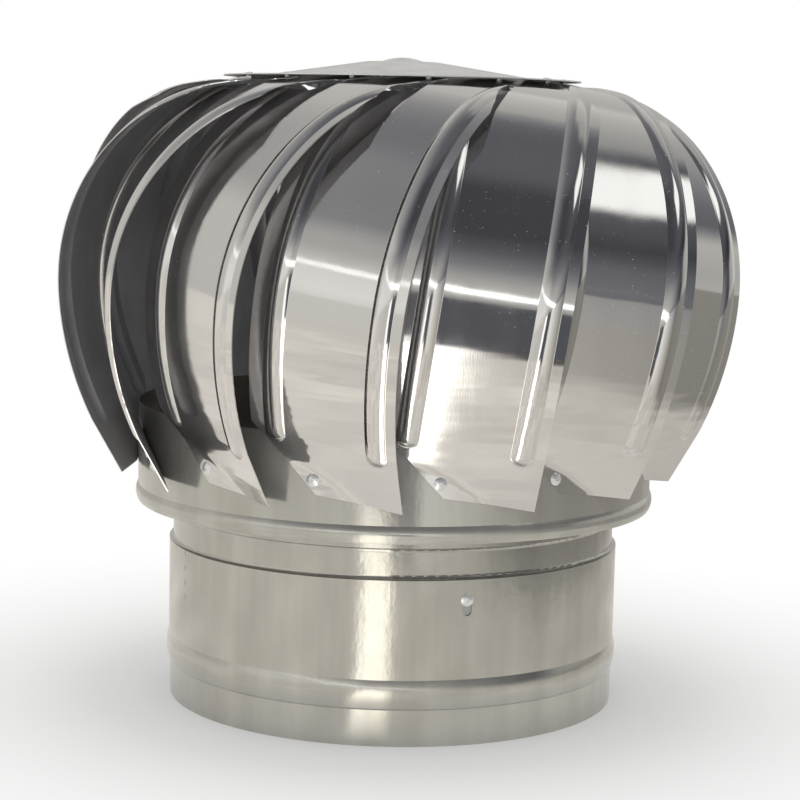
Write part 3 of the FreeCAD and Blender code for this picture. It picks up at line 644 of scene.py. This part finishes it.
def satin_sheet_material(name, colour, dust, roughness, metallic, seam=False):
    """Satin sheet: broad faint bands up and down, blotches of dust, fine grain, spot welds."""
    material, tree, shader = new_metal(name, metallic)
    bands = tree.noise(tree.stretched(z=0.08), scale=60.0, detail=3.0, roughness=0.55)
    cloud = tree.noise(tree.stretched(z=0.6), scale=24.0, detail=5.0, roughness=0.6)
    grain = tree.noise(tree.stretched(), scale=700.0, detail=2.0)
    tone = tree.mixed(tree.ranged(bands, (0.35, 0.65)), shade(colour, 0.94), shade(colour, 1.06))
    tone = tree.mixed(tree.ranged(cloud, (0.5, 0.8), (0.0, 0.4)), tone, dust)
    if seam:
        tone = tree.mixed(weld_dots(tree), tone, shade(colour, 0.35))
    tree.join(tone, shader.inputs["Base Color"])
    rough = tree.ranged(cloud, NOISE_RANGE, (roughness - 0.03, roughness + 0.05))
    tree.join(rough, shader.inputs["Roughness"])
    tree.relief(shader, (bands, 0.25, 0.6 * MM), (cloud, 0.35, 1.6 * MM), (grain, 0.08, 0.1 * MM))
    return material


def plain_metal_material(name, colour, roughness, metallic=1.0):
    """Turned, plated or ground metal with a fine even grain."""
    material, tree, shader = new_metal(name, metallic)
    grain = tree.noise(tree.stretched(), scale=420.0, detail=3.0)
    tone = tree.mixed(tree.ranged(grain, NOISE_RANGE), shade(colour, 0.9), shade(colour, 1.06))
    tree.join(tone, shader.inputs["Base Color"])
    rough = tree.ranged(grain, NOISE_RANGE, (roughness - 0.05, roughness + 0.06))
    tree.join(rough, shader.inputs["Roughness"])
    tree.relief(shader, (grain, 0.06, 0.1 * MM))
    return material


FINISHES = {
    "neck": ["neck_collar"],
    "skirt": ["skirt_ring"],
    "cap": ["cap_cone", "cap_button"],
    "rivet": ["skirt_rivets", "cap_rivets", "bracket_rivets"],
    "zinc": ["bearing_bracket", "rotor_cross_bar", "spindle_washers", "spindle_nuts",
             "housing_screws", "housing_nuts"],
    "turned": ["spindle", "spindle_collar", "lower_bearing_housing", "top_hub"],
    "bearing": ["lower_bearing_inner_race", "lower_bearing_outer_race", "lower_bearing_balls",
                "upper_bearing_inner_race", "upper_bearing_outer_race", "upper_bearing_balls"],
    "cage": ["lower_bearing_cage", "upper_bearing_cage"],
    "black": ["collar_screw"],
}


class VENT_OT_sheet_finishes(bpy.types.Operator):
    """Gives the neck, skirt, cap, fasteners and inner parts their metal finishes"""
    bl_idname = "vent.sheet_finishes"
    bl_label = "Sheet and fastener finishes"

    def execute(self, context):
        finish = context.scene.vent_finish
        satin, plain = satin_sheet_material, plain_metal_material
        made = {
            "neck": satin("satin_neck_steel", finish.satin_steel, finish.dust, 0.16, 0.86,
                          seam=True),
            "skirt": satin("satin_skirt_steel", finish.satin_steel, finish.dust, 0.17, 0.72),
            "cap": satin("satin_cap_steel", finish.cap_steel, finish.dust, 0.34, 0.65),
            "rivet": plain("bright_rivet_aluminium", finish.rivet, 0.24, 0.6),
            "zinc": plain("plated_steel", finish.zinc, 0.34),
            "turned": plain("turned_steel", finish.zinc, 0.26),
            "bearing": plain("ground_bearing_steel", finish.rivet, 0.12),
            "cage": plain("cage_brass", finish.brass, 0.30),
            "black": plain("blackened_steel", finish.blackened, 0.40),
        }
        for key, names in FINISHES.items():
            for name in names:
                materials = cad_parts[name].data.materials
                materials.clear()
                materials.append(made[key])
        return {"FINISHED"}


# Stage

# Brightness of the studio on each side of the vent, as polished metal sees it: (sine of the ray's
# elevation, strength)
FRONT_LIGHT = ((-0.20, 0.15), (-0.09, 0.25), (0.03, 0.75), (0.13, 0.62), (0.28, 0.32), (0.41, 0.17),
               (0.54, 0.09), (0.84, 0.09), (0.92, 0.18), (1.0, 0.19))
BACK_LIGHT = ((-0.20, 0.60), (0.05, 0.68), (0.29, 0.72), (0.62, 0.72), (0.71, 0.60), (0.82, 0.45),
              (0.91, 0.34), (1.0, 0.20))
LEFT_LIGHT = ((-0.20, 1.10), (-0.14, 0.80), (0.44, 0.80), (0.50, 0.68), (0.57, 0.50), (0.70, 0.45),
              (0.85, 0.40), (0.91, 0.35), (1.0, 0.20))
RIGHT_LIGHT = ((-0.20, 0.36), (-0.12, 0.20), (0.05, 0.03), (0.20, 0.10), (0.35, 0.05), (0.45, 0.13),
               (0.55, 0.17), (0.79, 0.15), (1.0, 0.18))
STUDIO_LEVEL = 0.83

# Bright panels: (from, to, softness) in degrees round from the front, the same in sine of
# elevation, and strength
PANELS = (
    (-85.0, -15.0, 12.0, -0.12, 0.26, 0.12, 0.35),
    (85.0, 150.0, 10.0, -0.08, 0.24, 0.05, 0.50),
    (60.0, 98.0, 4.0, 0.588, 0.777, 0.03, 1.40),
    (110.0, 174.0, 8.0, 0.63, 0.93, 0.04, 0.27),
)

# A tilted strip light: its middle's height in front, drop per degree, half thickness and softness,
# then its parts as (from, to, softness, strength)
BAR_MIDDLE, BAR_DROP, BAR_HALF, BAR_SOFT = 0.045, 0.0031, 0.020, 0.010
BAR_PARTS = ((-30.0, 28.0, 12.0, 2.40), (-78.0, -30.0, 10.0, 0.70), (30.0, 58.0, 8.0, 0.40))

# Colour of the studio by half its strength: cool in the shade, warm in the middle, neutral in the
# lights
LIGHT_COLOURS = ((0.0, (0.84, 0.87, 1.0)), (0.08, (0.86, 0.88, 1.0)), (0.22, (1.0, 0.985, 0.96)),
                 (0.38, (1.0, 0.97, 0.93)), (0.55, (0.99, 1.0, 0.99)))

# The ground that metal sees, painted light that the floor gives off: a mottled round of glowing
# floor, darker to the right, then the far ground, as bright as the studio at this height of the ray
ROUND_MIDDLE = (-0.5, 0.05, 0.0)
ROUND_EDGE = 0.05
ROUND_COLOUR = (1.0, 0.96, 0.89)
ROUND_MOTTLE = (0.66, 0.97)
ROUND_RIGHT_FADE = ((0.0, 0.5), (1.0, 0.72))
GROUND_HEIGHT = -0.2

# Light on the far ground each side of a dark middle: degrees where it starts, is strongest and
# ends, and strength
GROUND_GLOW = ((7.0, 13.0, 62.0, 0.90), (-9.0, -14.0, -62.0, 0.50), (-4.5, -9.0, -17.0, 1.60))

# The upright window, a glowing stripe painted on the floor that only metal sees: half width and
# softness in degrees, and where it fades in, as y in metres
WINDOW_HALF, WINDOW_SOFT = 6.5, 3.0
WINDOW_NEAR = (-1.02, -0.92)

# Away from the vent's foot the floor turns into what metal sees, and white to the eye
METAL_FADE = (0.16, 0.26)
EYE_FADE = (0.20, 0.50)
FLOOR_RADIUS, FLOOR_SIDES = 9.0, 96

# Keeps a ray that leaves straight up from dividing by zero
TINY = 0.000001


def azimuth_of(tree, x, y):
    """Degrees round from the front, to the right."""
    return tree.times(tree.calc("ARCTAN2", x, tree.times(y, -1.0)), math.degrees(1.0))


def studio_strength(tree, x, y, z):
    """What a ray that leaves along x, y, z sees of the studio, as one strength."""
    parts = []
    flat = tree.calc("MAXIMUM", tree.plus(tree.times(x, x), tree.times(y, y)), TINY)
    height = tree.ranged(z, (-1.0, 1.0))
    for axis, sign, stops in ((y, -1.0, FRONT_LIGHT), (y, 1.0, BACK_LIGHT),
                              (x, -1.0, LEFT_LIGHT), (x, 1.0, RIGHT_LIGHT)):
        side = tree.calc("MAXIMUM", tree.times(axis, sign), 0.0)
        share = tree.calc("DIVIDE", tree.times(side, side), flat)
        light = tree.ramp(height, [((sine + 1.0) / 2.0, (value,) * 3) for sine, value in stops])
        parts.append(tree.times(share, light))

    azimuth = azimuth_of(tree, x, y)
    for start, end, soft, low, high, edge, strength in PANELS:
        parts.append(tree.times(tree.window(azimuth, start, end, soft),
                                tree.window(z, low, high, edge), strength))
    across = tree.calc("SUBTRACT", tree.plus(z, tree.times(azimuth, BAR_DROP)), BAR_MIDDLE)
    bar = tree.window(across, -BAR_HALF, BAR_HALF, BAR_SOFT)
    for start, end, soft, strength in BAR_PARTS:
        parts.append(tree.times(tree.window(azimuth, start, end, soft), bar, strength))
    return tree.times(tree.plus(*parts), STUDIO_LEVEL)


def light_colour(tree, strength):
    """The tint of the studio where it has this strength."""
    return tree.ramp(tree.times(strength, 0.5), LIGHT_COLOURS)


def studio_world():
    """White to the eye and to dull surfaces, a studio of bands to polished metal."""
    world = bpy.data.worlds.new("studio")
    tree = NodeTree(world)
    strength = studio_strength(tree, *tree.split(tree.coordinates("Generated")))
    white = tree.light("ShaderNodeBackground", WHITE, 1.0)
    studio = tree.light("ShaderNodeBackground", light_colour(tree, strength), strength)
    tree.finish(tree.either(tree.ray("Is Glossy Ray"), white, studio), "ShaderNodeOutputWorld")
    return world


def floor_seen_in_metal(tree, place, stage):
    """The bright round of floor, the far ground and the upright window, as light in the metal."""
    x, y, _ = tree.split(place)
    azimuth = azimuth_of(tree, x, y)
    ground = studio_strength(tree, x, y, GROUND_HEIGHT)
    for start, peak, end, strength in GROUND_GLOW:
        rise = tree.ranged(azimuth, (start, peak), (0.0, strength))
        fall = tree.ranged(azimuth, (peak, end), (1.0, 0.0))
        ground = tree.plus(ground, tree.times(rise, fall))

    blotches = tree.noise(place, scale=7.0, detail=5.0)
    mottled = tree.times(tree.ranged(blotches, NOISE_RANGE, ROUND_MOTTLE),
                         tree.ranged(x, *ROUND_RIGHT_FADE))
    edge = (stage.floor_reach - ROUND_EDGE, stage.floor_reach + ROUND_EDGE)
    inside = tree.ranged(tree.distance(place, ROUND_MIDDLE), edge, (1.0, 0.0))
    outside = tree.calc("SUBTRACT", 1.0, inside)
    level = tree.plus(tree.times(inside, mottled), tree.times(outside, ground))

    turn = math.degrees(stage.window_azimuth)
    near = tree.ranged(y, WINDOW_NEAR)
    upright = tree.window(azimuth, turn - WINDOW_HALF, turn + WINDOW_HALF, WINDOW_SOFT)
    level = tree.calc("MAXIMUM", level, tree.times(upright, near, stage.window_strength))
    colour = tree.mixed(tree.calc("MAXIMUM", inside, near), light_colour(tree, ground),
                        ROUND_COLOUR)
    return tree.light("ShaderNodeEmission", colour, level)


def floor_material(stage):
    """Pale floor, white to the eye away from the vent, with painted light of its own that only
    metal sees.
    """
    material = bpy.data.materials.new("pale_floor")
    tree = NodeTree(material)
    place = tree.coordinates()
    pale = tree.nodes.new("ShaderNodeBsdfDiffuse")
    pale.inputs["Color"].default_value = (*stage.floor_colour, 1.0)
    away = tree.distance(place, (0.0, 0.0, 0.0))
    metal = tree.times(tree.ray("Is Glossy Ray"), tree.ranged(away, METAL_FADE))
    surface = tree.either(metal, pale.outputs[0], floor_seen_in_metal(tree, place, stage))
    eye = tree.times(tree.ray("Is Camera Ray"), tree.ranged(away, EYE_FADE))
    tree.finish(tree.either(eye, surface, tree.light("ShaderNodeEmission", WHITE, 1.0)))
    return material


class VENT_OT_stage(bpy.types.Operator):
    """Sets the pale floor, the studio light and the camera of the photo's view"""
    bl_idname = "vent.stage"
    bl_label = "Floor, light and camera"

    def execute(self, context):
        stage = context.scene.vent_stage
        deselect()
        bpy.ops.mesh.primitive_circle_add(vertices=FLOOR_SIDES, radius=FLOOR_RADIUS,
                                          fill_type="NGON", location=(0.0, 0.0, 0.0))
        floor = named("floor")
        floor.data.materials.append(floor_material(stage))

        context.scene.world = studio_world()
        lens = bpy.data.cameras.new("photo_camera")
        lens.sensor_width = SENSOR
        lens.lens = PHOTO_FOCAL / PHOTO_SIZE * SENSOR
        lens.shift_x = (PHOTO_SIZE / 2.0 - PHOTO_CENTRE[0]) / PHOTO_SIZE
        lens.shift_y = (PHOTO_CENTRE[1] - PHOTO_SIZE / 2.0) / PHOTO_SIZE
        camera = bpy.data.objects.new("photo_camera", lens)
        context.scene.collection.objects.link(camera)
        camera.matrix_world = (
            Matrix.Translation((0.0, -stage.camera_distance, stage.camera_height))
            @ Matrix.Rotation(math.pi / 2.0 - stage.camera_pitch, 4, "X")
            @ Matrix.Rotation(stage.camera_roll, 4, "Z"))
        context.scene.camera = camera
        context.scene.view_settings.view_transform = "Standard"
        return {"FINISHED"}


class VENT_PT_panel(bpy.types.Panel):
    """Lists the vent's steps and sizes"""
    bl_idname = "VENT_PT_panel"
    bl_label = "Roof Vent"
    bl_space_type = "VIEW_3D"
    bl_region_type = "UI"
    bl_category = "Roof Vent"

    def draw(self, context):
        scene = context.scene
        for step in STEPS:
            self.layout.operator(step.bl_idname)
        for settings in (scene.vent_vanes, scene.vent_finish, scene.vent_stage):
            box = self.layout.box()
            for name in settings.__annotations__:
                box.prop(settings, name)


STEPS = (VENT_OT_sheet_finishes, VENT_OT_vanes, VENT_OT_stage)
CLASSES = (VentVaneSettings, VentFinishSettings, VentStageSettings) + STEPS + (VENT_PT_panel,)


def register():
    for cls in CLASSES:
        bpy.utils.register_class(cls)
    bpy.types.Scene.vent_vanes = bpy.props.PointerProperty(type=VentVaneSettings)
    bpy.types.Scene.vent_finish = bpy.props.PointerProperty(type=VentFinishSettings)
    bpy.types.Scene.vent_stage = bpy.props.PointerProperty(type=VentStageSettings)


def unregister():
    del bpy.types.Scene.vent_stage
    del bpy.types.Scene.vent_finish
    del bpy.types.Scene.vent_vanes
    for cls in reversed(CLASSES):
        bpy.utils.unregister_class(cls)


def main():
    register()
    bpy.ops.vent.sheet_finishes()
    bpy.ops.vent.vanes()
    bpy.ops.vent.stage()


if __name__ == "__main__":
    main()
